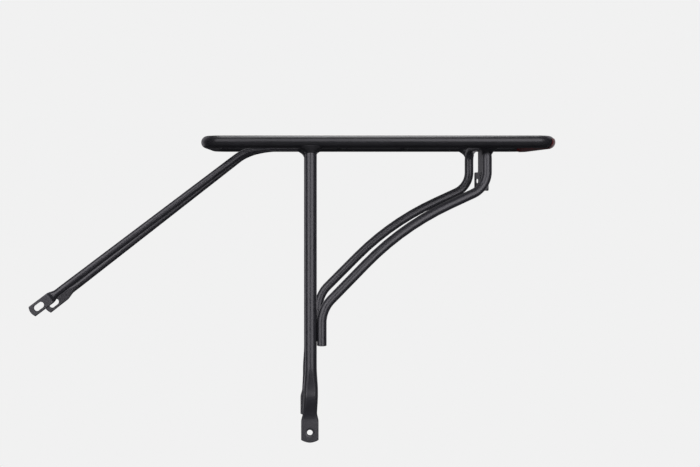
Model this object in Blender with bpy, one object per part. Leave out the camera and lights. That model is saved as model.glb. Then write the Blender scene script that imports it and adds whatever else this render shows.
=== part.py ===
"""Bicycle rear rack, welded from bent steel tube.

Metres. +X points to the rear of the bicycle, +Y to its right side, +Z up. The origin is the
midpoint between the two foot bolt holes, where the rack sits on the frame's dropouts.
"""
import math

import bmesh
import bpy
from mathutils import Vector

LEFT, RIGHT = -1, 1
SIDES = {"left": LEFT, "right": RIGHT}
GAP = 0.0003                      # clearance kept between touching pieces
CUT_REACH = 0.010                 # how far a cutter runs past each face it cuts
UPRIGHT = math.pi / 2

# Number of flat sides on round pieces.
RAIL_SIDES = 20
HOOP_SIDES = 16
ROD_SIDES = 14
LEG_SIDES = 20
STAY_SIDES = 16
HOLE_SIDES = 24
BEAD_SIDES = 12
COLLAR_SIDES = 22

# Deck rail: one tube bent to a closed rounded rectangle.
DECK_Z = 0.367                    # rail centre above the foot bolts
DECK_FRONT_X = -0.1303            # centre of the front cross run
DECK_REAR_X = 0.3034              # centre of the rear cross run
RAIL_HALF_SPACING = 0.070         # centre plane to the centre of a side rail
RAIL_RADIUS = 0.008
CORNER_RADIUS = 0.018             # centreline radius of the four corners

# Deck rods share the length between the front run and the hoop's bar evenly.
HOOP_X = 0.225                    # the hoop's upright ends and its bar
ROD_PITCH = (HOOP_X - DECK_FRONT_X) / 4
ROD_RADIUS = 0.004
ROD_Z = 0.3662
ROD_NAMES = ("front", "middle", "rear")

# Legs: round tube, pressed flat at the foot, its inner side straight all the way down.
LEG_X = 0.0013
LEG_RADIUS = 0.00735
LEG_INNER_Y = 0.06005             # inner side of the leg and of its foot
LEG_Y = LEG_INNER_Y + LEG_RADIUS
LEG_TOP_Z = 0.363
FOOT_HALF_WIDTH = 0.01105
FOOT_HALF_THICKNESS = 0.0015
FOOT_OVAL_HALF_WIDTH = 0.0089     # the half-flattened stretch above the foot
FOOT_OVAL_HALF_THICKNESS = 0.0056
ROUND_ABOVE_Z = 0.086             # the leg is round above this height
OVAL_BELOW_Z = 0.052              # and fully oval at this one
PRESS_TOP_Z = 0.050               # the pressed slope runs down from here
PRESS_BOTTOM_Z = 0.016            # to the flat foot
SPREAD_TOP_Z = 0.026              # the oval widens to the foot's width between these two
SPREAD_BOTTOM_Z = 0.014
LEG_RING_STEP = 0.006
FOOT_END_RADIUS = 0.0205          # outline of the foot's lower end
FOOT_BOTTOM_Z = -0.0126
FOOT_HOLE_RADIUS = 0.0036
FOOT_SEAT_RADIUS = 0.0063         # shallow pressed seat round the bolt hole
FOOT_SEAT_DEPTH = 0.0004
FOOT_Y = LEG_INNER_Y + FOOT_HALF_THICKNESS

# Rear hoop: two curved stays and the bar between them, one tube.
HOOP_RADIUS = 0.006
HOOP_FOOT_X = LEG_X + LEG_RADIUS + HOOP_RADIUS + GAP
HOOP_FOOT_Z = 0.111
HOOP_FOOT_Y = LEG_Y
HOOP_TOP_Y = 0.0565
HOOP_BAR_Z = 0.3642
HOOP_BAR_BEND = 0.020             # centreline radius of the two bends into the bar
HOOP_LOWER_RUN = 0.0284           # straight run beside the leg
HOOP_LOWER_BEND = 0.042
HOOP_STEEP_RUN = 0.0616           # straight run above the lower bend
HOOP_LONG_BEND = 0.366
HOOP_UPPER_BEND = 0.031
HOOP_STEEP = math.radians(45.4)   # pitch of the stay above its lower bend
HOOP_SHALLOW = math.radians(24.8)  # pitch of the stay below its upper bend
HOOP_CLOSE_START_Z = 0.150        # the two sides close in on each other between these heights
HOOP_CLOSE_END_Z = 0.330

# Front stays: thin tube, flat under the deck rod at one end and slotted at the other.
STAY_Y = 0.0295
STAY_RADIUS = 0.0047
STAY_INNER_Y = STAY_Y - STAY_RADIUS   # inner side of the tube, and of its slotted tab
STAY_TAIL_X = -0.015              # rear end of the flattened tail
STAY_TAIL_HALF_THICKNESS = 0.00185
STAY_TAIL_HALF_WIDTH = 0.0074
STAY_TAIL_LENGTH = 0.038
STAY_TAIL_TAPER = 0.034
STAY_TAIL_RUN = 0.0256            # straight run from the tail's end
STAY_TAIL_RISE = math.radians(5.0)
STAY_TAIL_BEND = 0.100
STAY_RISE_RUN = 0.0205            # straight run between the tail bend and the main bend
STAY_MAIN_BEND = 0.050
STAY_PITCH = {"left": math.radians(37.0), "right": math.radians(38.0)}  # bent by hand
STAY_SLOPE_LENGTH = {"left": 0.3222, "right": 0.3192}  # main bend to the slot's centre
STAY_RING_STEP = 0.005
TAB_HALF_WIDTH = 0.0077
TAB_HALF_THICKNESS = 0.00125
TAB_FLAT = 0.0175                 # slot centre to the start of the press marks
TAB_TAPER = 0.013                 # length over which the tab narrows to the tube
TAB_OUTER_RAMP = 0.007            # short ramp on the outer face
TAB_INNER_RAMP = 0.026            # long flat on the inner face, which stays in line with the tube
TAB_END_RADIUS = 0.015
TAB_END = 0.0135                  # slot centre to the tip
SLOT_LENGTH = 0.0148
SLOT_RADIUS = 0.004

# Lamp bracket: a T-shaped plate under the hoop's bar.
PLATE_X = 0.2289                  # front face
PLATE_THICKNESS = 0.002
PLATE_HALF_WIDTH = 0.040
PLATE_BOTTOM_Z = 0.3051
PLATE_SHOULDER_Z = 0.3296
PLATE_TOP_Z = 0.362
PLATE_STRIP_HALF_WIDTH = 0.0165
PLATE_CORNER = 0.003
LAMP_SLOT_Y = 0.025               # two slots 50 mm apart
LAMP_SLOT_Z = 0.3178
LAMP_SLOT_LENGTH = 0.0175
LAMP_SLOT_RADIUS = 0.00275
LAMP_HOLE_RADIUS = 0.003
LAMP_HOLE_Z = 0.3232

# Reflective strip bonded round the back and underside of the rear run.
STRIP_THICKNESS = 0.0003
STRIP_TOP_ANGLE = math.radians(30)
STRIP_BOTTOM_ANGLE = math.radians(-150)
STRIP_CORNER_ANGLE = math.radians(47)   # how far it follows each rear corner
STRIP_STEPS = 14

# Weld beads.
COLLAR_BOTTOM_Z = 0.352
HOOP_COLLAR_FOOT_Y = 0.0549       # the hoop has started to bend inwards at that height
COLLAR_TOP_Z = 0.3625
COLLAR_SPREAD = 0.0087            # how far a collar flares along the rail
COLLAR_SKIN = 0.0004              # bead thickness where it runs out on the tube
LEG_COLLAR_HALF_Y = 0.0086        # half width of each collar's top, across the rail
HOOP_COLLAR_HALF_Y = 0.008
HOOP_COLLAR_Y = 0.0645            # the hoop's collar leans out to the rail
ROD_WELD_LENGTH = 0.004
ROD_WELD_SPREAD = 0.0026
ROD_WELD_BITE = 0.001             # how far a rod's bead climbs onto the rail
STAY_WELD_LENGTH = 0.012
STAY_WELD_INNER = 0.0016          # bead corners, measured from the rod's centre
STAY_WELD_OUTER = 0.0058
STAY_WELD_PEAK = 0.0046
STAY_WELD_HEIGHT = 0.003
FOOT_WELD_RADIUS = 0.003
FOOT_WELD_LENGTH = 0.026
FOOT_WELD_START = 0.004           # above the hoop's cut end
FOOT_WELD_INWARD = 0.0052         # from the leg's centre towards the wheel
PLATE_WELD_RADIUS = 0.0022
PLATE_WELD_LENGTH = 0.030
PLATE_WELD_SINK = 0.0002          # how far the bead's centre sits below its own radius

BLACK = (0.018, 0.019, 0.022, 1.0)
RED = (0.45, 0.012, 0.010, 1.0)


# ---------------------------------------------------------------- helpers

def clear_scene():
    for existing in list(bpy.data.objects):
        bpy.data.objects.remove(existing, do_unlink=True)


def finish_material(name, colour, roughness, metallic):
    """A Principled BSDF material for one sub-part."""
    made = bpy.data.materials.new(name)
    made.use_nodes = True
    shader = made.node_tree.nodes["Principled BSDF"]
    shader.inputs["Base Color"].default_value = colour
    shader.inputs["Roughness"].default_value = roughness
    shader.inputs["Metallic"].default_value = metallic
    made.diffuse_color = colour
    return made


def paint(name):
    return finish_material(name + "_paint", BLACK, 0.36, 0.0)


def smooth_step(value, low, high):
    """0 below low, 1 above high, with a soft start and end."""
    share = min(max((value - low) / (high - low), 0.0), 1.0)
    return share * share * (3 - 2 * share)


def mix(low, high, share):
    return low + (high - low) * share


def mesh_object(name, bm, material=None, sharp=math.radians(40)):
    """An object from a bmesh, with outward faces and smooth round sides."""
    bmesh.ops.recalc_face_normals(bm, faces=bm.faces)
    mesh = bpy.data.meshes.new(name)
    bm.to_mesh(mesh)
    bm.free()
    mesh.shade_smooth()
    mesh.set_sharp_from_angle(angle=sharp)
    made = bpy.data.objects.new(name, mesh)
    bpy.context.scene.collection.objects.link(made)
    if material:
        mesh.materials.append(material)
    return made


def loft(name, rings, material=None, closed=False):
    """A skin through rings of points, capped at both ends unless it closes on itself."""
    bm = bmesh.new()
    loops = [[bm.verts.new(point) for point in ring] for ring in rings]
    following = loops[1:] + loops[:1] if closed else loops[1:]
    for ring, after in zip(loops, following):
        for index in range(len(ring)):
            nearby = (index + 1) % len(ring)
            bm.faces.new((ring[index], ring[nearby], after[nearby], after[index]))
    if not closed:
        bm.faces.new(loops[0])
        bm.faces.new(loops[-1])
    return mesh_object(name, bm, material)


def prism(name, outline, depth, material=None):
    """An outline of 3D points pushed along the vector depth."""
    return loft(name, [outline, [point + depth for point in outline]], material)


def as_cutter(made):
    made.hide_render = True
    made.display_type = "WIRE"
    return made


def cut(made, *cutters):
    """Takes the cutters' volume away from a piece."""
    for cutter in cutters:
        modifier = made.modifiers.new("cut_" + cutter.name, "BOOLEAN")
        modifier.operation = "DIFFERENCE"
        modifier.solver = "EXACT"
        modifier.object = cutter
    return made


def round_section(radius, sides):
    """Points of a circle, starting half a step off the axis."""
    step = 2 * math.pi / sides
    return [(radius * math.cos((i + 0.5) * step), radius * math.sin((i + 0.5) * step))
            for i in range(sides)]


def pressed_section(half_width, half_height, sides):
    """A tube's section after pressing: a flat-sided oval, or a circle where both halves agree."""
    radius = min(half_width, half_height)
    return [(x + math.copysign(half_width - radius, x), y + math.copysign(half_height - radius, y))
            for x, y in round_section(radius, sides)]


def tab_section(half_height, inner_radius, outer_radius, sides):
    """A section with a flat on each side, measured from its inner side: height, then depth."""
    points = []
    for x, y in round_section(1.0, sides):
        radius = outer_radius if y > 0 else inner_radius
        points.append((math.copysign(half_height - radius, x) + radius * x, inner_radius + radius * y))
    return points


def sweep(name, centres, radius, sides, material=None, closed=False):
    """A round tube along a line of points."""
    count = len(centres)
    tangents = []
    for index in range(count):
        before = centres[index - 1] if index or closed else centres[index]
        after = centres[(index + 1) % count] if index + 1 < count or closed else centres[index]
        tangents.append((after - before).normalized())
    across = tangents[0].orthogonal().normalized()
    if abs(tangents[0].z) < 0.5:
        across = Vector((0, 0, 1)).cross(tangents[0]).normalized()
    rings = []
    previous = tangents[0]
    for centre, tangent in zip(centres, tangents):
        across = (previous.rotation_difference(tangent) @ across).normalized()
        other = tangent.cross(across)
        rings.append([centre + across * a + other * b for a, b in round_section(radius, sides)])
        previous = tangent
    return loft(name, rings, material, closed)


def bent_line(start, heading, moves, step=math.radians(9)):
    """Centreline in the XZ plane: moves are (length,) for a run or (angle, radius) for a bend."""
    x, z = start
    points = [(x, z)]
    for move in moves:
        if len(move) == 1:
            x += move[0] * math.cos(heading)
            z += move[0] * math.sin(heading)
            points.append((x, z))
            continue
        angle, radius = move
        side = math.copysign(1, angle)
        centre_x = x - side * radius * math.sin(heading)
        centre_z = z + side * radius * math.cos(heading)
        count = max(2, math.ceil(abs(angle) / step))
        for index in range(1, count + 1):
            turned = heading + angle * index / count
            x = centre_x + side * radius * math.sin(turned)
            z = centre_z - side * radius * math.cos(turned)
            points.append((x, z))
        heading += angle
    return points


def cylinder(name, centre, axis, radius, length, sides, material=None):
    """A straight round bar centred on a point."""
    half = Vector(axis).normalized() * length / 2
    return sweep(name, [Vector(centre) - half, Vector(centre) + half], radius, sides, material)


def box(name, low, high):
    """A block between two corners."""
    outline = [(low[0], low[1]), (high[0], low[1]), (high[0], high[1]), (low[0], high[1])]
    return prism(name, [Vector((x, y, low[2])) for x, y in outline], Vector((0, 0, high[2] - low[2])))


def slot_outline(centre, along, across, length, radius, sides=8):
    """Outline of a slot with round ends."""
    reach = length / 2 - radius
    points = []
    for end in (1, -1):
        for index in range(sides + 1):
            angle = end * (math.pi * index / sides - UPRIGHT)
            points.append(centre + along * end * (reach + radius * math.cos(angle))
                          + across * radius * math.sin(angle))
    return points


# ---------------------------------------------------------------- centrelines

def corner_points(first_angle, last_angle, step=math.radians(15)):
    """Deck centreline points and outward directions over one corner's range of headings."""
    count = round((last_angle - first_angle) / step)
    middle = (first_angle + last_angle) / 2
    corner_x = DECK_REAR_X - CORNER_RADIUS if math.cos(middle) > 0 else DECK_FRONT_X + CORNER_RADIUS
    corner_y = math.copysign(RAIL_HALF_SPACING - CORNER_RADIUS, math.sin(middle))
    corner = Vector((corner_x, corner_y, DECK_Z))
    points = []
    for index in range(count + 1):
        angle = first_angle + (last_angle - first_angle) * index / count
        outward = Vector((math.cos(angle), math.sin(angle), 0))
        points.append((corner + outward * CORNER_RADIUS, outward))
    return points


def deck_centreline():
    points = []
    for quarter in range(4):
        points += corner_points(quarter * UPRIGHT, (quarter + 1) * UPRIGHT)
    return [centre for centre, outward in points]


def hoop_half_width(z):
    """The stays close in towards the deck from the legs."""
    return mix(HOOP_FOOT_Y, HOOP_TOP_Y, smooth_step(z, HOOP_CLOSE_START_Z, HOOP_CLOSE_END_Z))


def hoop_centreline():
    """From the left foot, up and under the deck, and down to the right foot."""
    start = (HOOP_FOOT_X, HOOP_FOOT_Z)
    lower_part = [(HOOP_LOWER_RUN,), (HOOP_STEEP - UPRIGHT, HOOP_LOWER_BEND), (HOOP_STEEP_RUN,),
                  (HOOP_SHALLOW - HOOP_STEEP, HOOP_LONG_BEND)]
    reached_x = bent_line(start, UPRIGHT, lower_part)[-1][0]
    bend_reach = HOOP_UPPER_BEND * (1 - math.sin(HOOP_SHALLOW))
    shallow_run = (HOOP_X - bend_reach - reached_x) / math.cos(HOOP_SHALLOW)
    upper_part = [(shallow_run,), (UPRIGHT - HOOP_SHALLOW, HOOP_UPPER_BEND)]
    side = bent_line(start, UPRIGHT, lower_part + upper_part, step=math.radians(5.2))
    left = [Vector((x, LEFT * hoop_half_width(z), z)) for x, z in side]
    centre_y = HOOP_TOP_Y - HOOP_BAR_BEND
    centre_z = HOOP_BAR_Z - HOOP_BAR_BEND
    steps = 9
    for index in range(steps + 1):
        angle = UPRIGHT * index / steps
        left.append(Vector((HOOP_X, LEFT * (centre_y + HOOP_BAR_BEND * math.cos(angle)),
                            centre_z + HOOP_BAR_BEND * math.sin(angle))))
    right = [Vector((point.x, -point.y, point.z)) for point in reversed(left)]
    return left + right


# ---------------------------------------------------------------- tubes and rods

def rail(name, radius, material=None):
    return sweep(name, deck_centreline(), radius, RAIL_SIDES, material, closed=True)


def hoop(name, radius, material=None):
    return sweep(name, hoop_centreline(), radius, HOOP_SIDES, material)


def rod_x(index):
    return DECK_FRONT_X + ROD_PITCH * (index + 1)


def rod(name, index, radius, material=None):
    centre = (rod_x(index), 0, ROD_Z)
    return cylinder(name, centre, (0, 1, 0), radius, 2 * RAIL_HALF_SPACING, ROD_SIDES, material)


def leg_section(z):
    """Half width, half thickness and X of the leg at a height."""
    to_oval = 1 - smooth_step(z, OVAL_BELOW_Z, ROUND_ABOVE_Z)
    to_spread = 1 - smooth_step(z, SPREAD_BOTTOM_Z, SPREAD_TOP_Z)
    to_flat = 1 - smooth_step(z, PRESS_BOTTOM_Z, PRESS_TOP_Z)
    oval_half_width = mix(LEG_RADIUS, FOOT_OVAL_HALF_WIDTH, to_oval)
    oval_half_depth = mix(LEG_RADIUS, FOOT_OVAL_HALF_THICKNESS, to_oval)
    half_width = mix(oval_half_width, FOOT_HALF_WIDTH, to_spread)
    half_depth = mix(oval_half_depth, FOOT_HALF_THICKNESS, to_flat)
    return half_width, half_depth, mix(LEG_X, 0.0, to_flat)


def leg_ring(z, side, half_width, half_depth, x, grow=0.0):
    centre_y = LEG_INNER_Y + half_depth
    return [Vector((x + a, side * (centre_y + b), z))
            for a, b in pressed_section(half_width + grow, half_depth + grow, LEG_SIDES)]


def leg(name, side, grow=0.0, material=None):
    """A leg from under the rail to its flattened foot, or its outline grown by a clearance."""
    count = round((ROUND_ABOVE_Z - SPREAD_BOTTOM_Z) / LEG_RING_STEP)
    heights = [LEG_TOP_Z] + [ROUND_ABOVE_Z - LEG_RING_STEP * index for index in range(count + 1)]
    rings = []
    for z in heights:
        half_width, half_depth, x = leg_section(z)
        rings.append(leg_ring(z, side, half_width, half_depth, x, grow))
    centre_z = FOOT_BOTTOM_Z + FOOT_END_RADIUS
    widest = math.asin(FOOT_HALF_WIDTH / FOOT_END_RADIUS)
    tip = FOOT_HALF_THICKNESS / FOOT_END_RADIUS
    steps = 6
    for index in range(steps + 1):
        angle = mix(widest, tip, index / steps)
        half_width = max(FOOT_END_RADIUS * math.sin(angle), FOOT_HALF_THICKNESS)
        z = centre_z - FOOT_END_RADIUS * math.cos(angle)
        rings.append(leg_ring(z, side, half_width, FOOT_HALF_THICKNESS, 0.0))
    return loft(name, rings, material)


def drill_foot(made, side):
    """The bolt hole and the shallow seat pressed round it on the outer face."""
    hole = cylinder(made.name + "_hole", (0, side * FOOT_Y, 0), (0, 1, 0), FOOT_HOLE_RADIUS,
                    2 * CUT_REACH, HOLE_SIDES)
    outer_y = side * (FOOT_Y + FOOT_HALF_THICKNESS)
    seat = cylinder(made.name + "_seat", (0, outer_y, 0), (0, 1, 0), FOOT_SEAT_RADIUS,
                    2 * FOOT_SEAT_DEPTH, HOLE_SIDES)
    cut(made, as_cutter(hole), as_cutter(seat))


def stay_section(along, length):
    """Points of a front stay's section, at a distance from its rear end: height, then depth
    from the line that the tube's inner side follows."""
    to_slot = length - along
    if to_slot < along:
        to_tab = 1 - smooth_step(to_slot, TAB_FLAT, TAB_FLAT + TAB_TAPER)
        outer_press = 1 - smooth_step(to_slot, TAB_FLAT, TAB_FLAT + TAB_OUTER_RAMP)
        inner_press = 1 - smooth_step(to_slot, TAB_FLAT, TAB_FLAT + TAB_INNER_RAMP)
        return tab_section(mix(STAY_RADIUS, TAB_HALF_WIDTH, to_tab),
                           mix(STAY_RADIUS, TAB_HALF_THICKNESS, inner_press),
                           mix(STAY_RADIUS, TAB_HALF_THICKNESS, outer_press), STAY_SIDES)
    from_tail = smooth_step(along, STAY_TAIL_LENGTH, STAY_TAIL_LENGTH + STAY_TAIL_TAPER)
    half_height = mix(STAY_TAIL_HALF_THICKNESS, STAY_RADIUS, from_tail)
    half_width = mix(STAY_TAIL_HALF_WIDTH, STAY_RADIUS, from_tail)
    return [(a, b + STAY_RADIUS) for a, b in pressed_section(half_height, half_width, STAY_SIDES)]


def stay_line(name):
    """Centreline of a front stay from its tail to its slot, and the slot's heading."""
    pitch = STAY_PITCH[name]
    tail_z = ROD_Z - ROD_RADIUS - GAP - STAY_TAIL_HALF_THICKNESS
    moves = [(STAY_TAIL_RUN,), (STAY_TAIL_RISE, STAY_TAIL_BEND), (STAY_RISE_RUN,),
             (pitch - STAY_TAIL_RISE, STAY_MAIN_BEND), (STAY_SLOPE_LENGTH[name],)]
    line = bent_line((STAY_TAIL_X, tail_z), math.pi, moves, step=math.radians(6))
    return line, math.pi + pitch


def refine(line, longest):
    """Splits long runs of a line, so that a changing section has points to follow."""
    points = [line[0]]
    for (x0, z0), (x1, z1) in zip(line, line[1:]):
        count = max(1, math.ceil(math.hypot(x1 - x0, z1 - z0) / longest))
        points += [(mix(x0, x1, i / count), mix(z0, z1, i / count)) for i in range(1, count + 1)]
    return points


def line_length(line):
    return sum(math.hypot(x1 - x0, z1 - z0) for (x0, z0), (x1, z1) in zip(line, line[1:]))


def stay_rings(line, side):
    """Sections from the tail to the slot, close together wherever the shape changes."""
    whole = line_length(line)
    points = refine(line, STAY_RING_STEP)
    plain_start = line_length(line[:-1]) + STAY_RING_STEP
    plain_end = whole - TAB_FLAT - TAB_INNER_RAMP - STAY_RING_STEP
    rings = []
    for index, (x, z) in enumerate(points):
        along = line_length(points[:index + 1])
        if plain_start < along < plain_end:
            continue
        before = points[max(index - 1, 0)]
        after = points[min(index + 1, len(points) - 1)]
        run = math.atan2(after[1] - before[1], after[0] - before[0])
        up = Vector((-math.sin(run), 0, math.cos(run)))
        rings.append([Vector((x, side * (STAY_INNER_Y + b), z)) + up * a
                      for a, b in stay_section(along, whole)])
    return rings


def tab_tip_rings(end, side, forward, up):
    """Sections that narrow to the tab's round tip."""
    widest = math.asin(TAB_HALF_WIDTH / TAB_END_RADIUS)
    tip = TAB_HALF_THICKNESS / TAB_END_RADIUS
    steps = 6
    rings = []
    for index in range(steps + 1):
        angle = mix(widest, tip, index / steps)
        reach = TAB_END - TAB_END_RADIUS * (1 - math.cos(angle))
        half_height = max(TAB_END_RADIUS * math.sin(angle), TAB_HALF_THICKNESS)
        rings.append([end + forward * reach + up * a + Vector((0, side * b, 0))
                      for a, b in pressed_section(half_height, TAB_HALF_THICKNESS, STAY_SIDES)])
    return rings


def stay(name, side, material):
    """A front stay with its flattened tail and its slotted tab."""
    line, heading = stay_line(name)
    end = Vector((line[-1][0], side * (STAY_INNER_Y + TAB_HALF_THICKNESS), line[-1][1]))
    forward = Vector((math.cos(heading), 0, math.sin(heading)))
    up = Vector((-forward.z, 0, forward.x))
    rings = stay_rings(line, side) + tab_tip_rings(end, side, forward, up)
    made = loft("front_stay_" + name, rings, material)
    reach = Vector((0, CUT_REACH, 0))
    outline = slot_outline(end - reach / 2, forward, up, SLOT_LENGTH, SLOT_RADIUS)
    return cut(made, as_cutter(prism(made.name + "_slot", outline, reach)))


# ---------------------------------------------------------------- plate and strip

def plate_outline(x):
    """The T: a wide lower plate with round corners and a narrower strip up to the bar."""
    corners = [(PLATE_BOTTOM_Z + PLATE_CORNER, -UPRIGHT), (PLATE_SHOULDER_Z - PLATE_CORNER, 0.0)]
    centre_y = PLATE_HALF_WIDTH - PLATE_CORNER
    steps = 3
    points = []
    for centre_z, first in corners:
        for index in range(steps + 1):
            angle = first + UPRIGHT * index / steps
            points.append((centre_y + PLATE_CORNER * math.cos(angle),
                           centre_z + PLATE_CORNER * math.sin(angle)))
    points += [(PLATE_STRIP_HALF_WIDTH, PLATE_SHOULDER_Z), (PLATE_STRIP_HALF_WIDTH, PLATE_TOP_Z)]
    mirrored = [(-y, z) for y, z in reversed(points)]
    return [Vector((x, y, z)) for y, z in points + mirrored]


def lamp_bracket(hoop_room):
    """The plate with its centre hole and its two lamp slots."""
    depth = Vector((PLATE_THICKNESS, 0, 0))
    made = prism("lamp_bracket", plate_outline(PLATE_X), depth, paint("lamp_bracket"))
    through = Vector((CUT_REACH, 0, 0))
    across = Vector((0, 1, 0))
    up = Vector((0, 0, 1))
    for name, side in SIDES.items():
        centre = Vector((PLATE_X, side * LAMP_SLOT_Y, LAMP_SLOT_Z)) - through / 2
        outline = slot_outline(centre, across, up, LAMP_SLOT_LENGTH, LAMP_SLOT_RADIUS)
        cut(made, as_cutter(prism("lamp_slot_" + name, outline, through)))
    hole = cylinder("lamp_hole", (PLATE_X, 0, LAMP_HOLE_Z), (1, 0, 0), LAMP_HOLE_RADIUS, CUT_REACH,
                    HOLE_SIDES)
    return cut(made, as_cutter(hole), hoop_room)


def rear_reflector():
    """A thin strip that follows the rear run and part of both corners."""
    inner = RAIL_RADIUS + GAP
    outer = inner + STRIP_THICKNESS
    angles = [mix(STRIP_BOTTOM_ANGLE, STRIP_TOP_ANGLE, index / STRIP_STEPS)
              for index in range(STRIP_STEPS + 1)]
    profile = [(outer * math.cos(angle), outer * math.sin(angle)) for angle in angles]
    profile += [(inner * math.cos(angle), inner * math.sin(angle)) for angle in reversed(angles)]
    path = corner_points(-STRIP_CORNER_ANGLE, 0) + corner_points(0, STRIP_CORNER_ANGLE)
    rings = [[centre + outward * a + Vector((0, 0, b)) for a, b in profile] for centre, outward in path]
    return loft("rear_reflector", rings, finish_material("rear_reflector_film", RED, 0.22, 0.0))


# ---------------------------------------------------------------- weld beads

def oval_ring(centre, half_x, half_y):
    return [centre + Vector((half_x * a, half_y * b, 0)) for a, b in round_section(1.0, COLLAR_SIDES)]


def weld_collar(name, side, tube, tube_y, top_y, top_half_y, rooms):
    """Bead round an upright tube that flares out along the rail above it."""
    x, radius = tube
    start = radius + COLLAR_SKIN + GAP
    bottom = oval_ring(Vector((x, side * tube_y, COLLAR_BOTTOM_Z)), start, start)
    top = oval_ring(Vector((x, side * top_y, COLLAR_TOP_Z)), radius + COLLAR_SPREAD, top_half_y)
    return cut(loft(name, [bottom, top], paint(name)), *rooms)


def rod_weld(name, side, index, rooms):
    """Bead between a deck rod's end and the rail."""
    wide_y = RAIL_HALF_SPACING - RAIL_RADIUS + ROD_WELD_BITE
    start = ROD_RADIUS + GAP + COLLAR_SKIN
    rings = []
    for y, radius in ((wide_y - ROD_WELD_LENGTH, start), (wide_y, start + ROD_WELD_SPREAD)):
        rings.append([Vector((rod_x(index) + a, side * y, ROD_Z + b))
                      for a, b in round_section(radius, ROD_SIDES)])
    return cut(loft(name, rings, paint(name)), *rooms)


def stay_weld(name, side, direction, rod_room):
    """Bead in the groove between the front rod and a stay's flat tail."""
    floor = ROD_Z - ROD_RADIUS
    profile = [(STAY_WELD_INNER, 0.0), (STAY_WELD_OUTER, 0.0), (STAY_WELD_PEAK, STAY_WELD_HEIGHT)]
    start_y = side * STAY_Y - STAY_WELD_LENGTH / 2
    outline = [Vector((rod_x(0) + direction * a, start_y, floor + b)) for a, b in profile]
    return cut(prism(name, outline, Vector((0, STAY_WELD_LENGTH, 0)), paint(name)), rod_room)


def foot_weld(name, side, rooms):
    """Bead in the inner groove between a leg and the foot of the hoop."""
    x = LEG_X + LEG_RADIUS + GAP / 2
    y = side * (LEG_Y - FOOT_WELD_INWARD)
    z = HOOP_FOOT_Z + FOOT_WELD_START + FOOT_WELD_LENGTH / 2
    made = cylinder(name, (x, y, z), (0, 0, 1), FOOT_WELD_RADIUS, FOOT_WELD_LENGTH, BEAD_SIDES,
                    paint(name))
    return cut(made, *rooms)


def plate_weld(hoop_room):
    """Bead between the hoop's bar and the top edge of the lamp bracket."""
    name = "lamp_bracket_weld"
    centre = (PLATE_X + PLATE_THICKNESS, 0, PLATE_TOP_Z + GAP + PLATE_WELD_RADIUS - PLATE_WELD_SINK)
    made = cylinder(name, centre, (0, 1, 0), PLATE_WELD_RADIUS, PLATE_WELD_LENGTH, BEAD_SIDES,
                    paint(name))
    room = box("plate_room", (PLATE_X - GAP, -PLATE_WELD_LENGTH, PLATE_SHOULDER_Z),
               (PLATE_X + PLATE_THICKNESS + GAP, PLATE_WELD_LENGTH, PLATE_TOP_Z + GAP))
    return cut(made, hoop_room, as_cutter(room))


# ---------------------------------------------------------------- assembly

def build():
    clear_scene()
    rail("deck_loop", RAIL_RADIUS, paint("deck_loop"))
    rail_room = as_cutter(rail("rail_room", RAIL_RADIUS + GAP))
    hoop("rear_hoop", HOOP_RADIUS, paint("rear_hoop"))
    hoop_room = as_cutter(hoop("hoop_room", HOOP_RADIUS + GAP))

    for index, place in enumerate(ROD_NAMES):
        name = "deck_rod_" + place
        cut(rod(name, index, ROD_RADIUS, paint(name)), rail_room)
        rod_room = as_cutter(rod(name + "_room", index, ROD_RADIUS + GAP))
        for side_name, side in SIDES.items():
            rod_weld("rod_weld_" + place + "_" + side_name, side, index, (rail_room, rod_room))

    front_rod_room = bpy.data.objects["deck_rod_front_room"]
    for side_name, side in SIDES.items():
        name = "leg_" + side_name
        made = cut(leg(name, side, material=paint(name)), rail_room)
        drill_foot(made, side)
        leg_room = as_cutter(leg(name + "_room", side, grow=GAP))
        weld_collar("leg_weld_" + side_name, side, (LEG_X, LEG_RADIUS), LEG_Y, RAIL_HALF_SPACING,
                    LEG_COLLAR_HALF_Y, (leg_room, rail_room))
        weld_collar("hoop_weld_" + side_name, side, (HOOP_X, HOOP_RADIUS), HOOP_COLLAR_FOOT_Y,
                    HOOP_COLLAR_Y, HOOP_COLLAR_HALF_Y, (hoop_room, rail_room))
        foot_weld("hoop_foot_weld_" + side_name, side, (leg_room, hoop_room))
        stay(side_name, side, paint("front_stay_" + side_name))
        for place, direction in (("front", -1), ("rear", 1)):
            stay_weld("stay_weld_" + side_name + "_" + place, side, direction, front_rod_room)

    lamp_bracket(hoop_room)
    plate_weld(hoop_room)
    rear_reflector()


build()
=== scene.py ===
"""Looks of the bicycle rear rack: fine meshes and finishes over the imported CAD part.

Metres, in the row's frame: +X to the rear of the bicycle, +Y to its right side, +Z up.
"""
import math
import random

import bmesh
import bpy
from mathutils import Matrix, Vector


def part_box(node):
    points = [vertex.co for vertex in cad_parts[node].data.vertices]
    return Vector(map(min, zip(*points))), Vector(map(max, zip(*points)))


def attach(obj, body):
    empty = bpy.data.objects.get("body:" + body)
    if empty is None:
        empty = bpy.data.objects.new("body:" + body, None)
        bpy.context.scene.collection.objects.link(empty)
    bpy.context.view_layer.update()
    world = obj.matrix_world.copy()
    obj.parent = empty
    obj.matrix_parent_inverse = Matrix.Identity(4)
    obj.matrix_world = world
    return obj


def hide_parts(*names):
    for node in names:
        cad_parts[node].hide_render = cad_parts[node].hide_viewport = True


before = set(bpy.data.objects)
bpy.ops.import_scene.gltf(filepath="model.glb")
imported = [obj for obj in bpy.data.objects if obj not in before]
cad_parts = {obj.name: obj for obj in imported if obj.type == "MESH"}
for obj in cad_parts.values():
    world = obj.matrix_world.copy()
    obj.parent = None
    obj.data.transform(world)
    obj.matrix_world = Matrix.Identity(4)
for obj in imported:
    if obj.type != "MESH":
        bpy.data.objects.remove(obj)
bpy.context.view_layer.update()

BODY = "root"
SIDES = {"left": -1, "right": 1}
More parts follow.
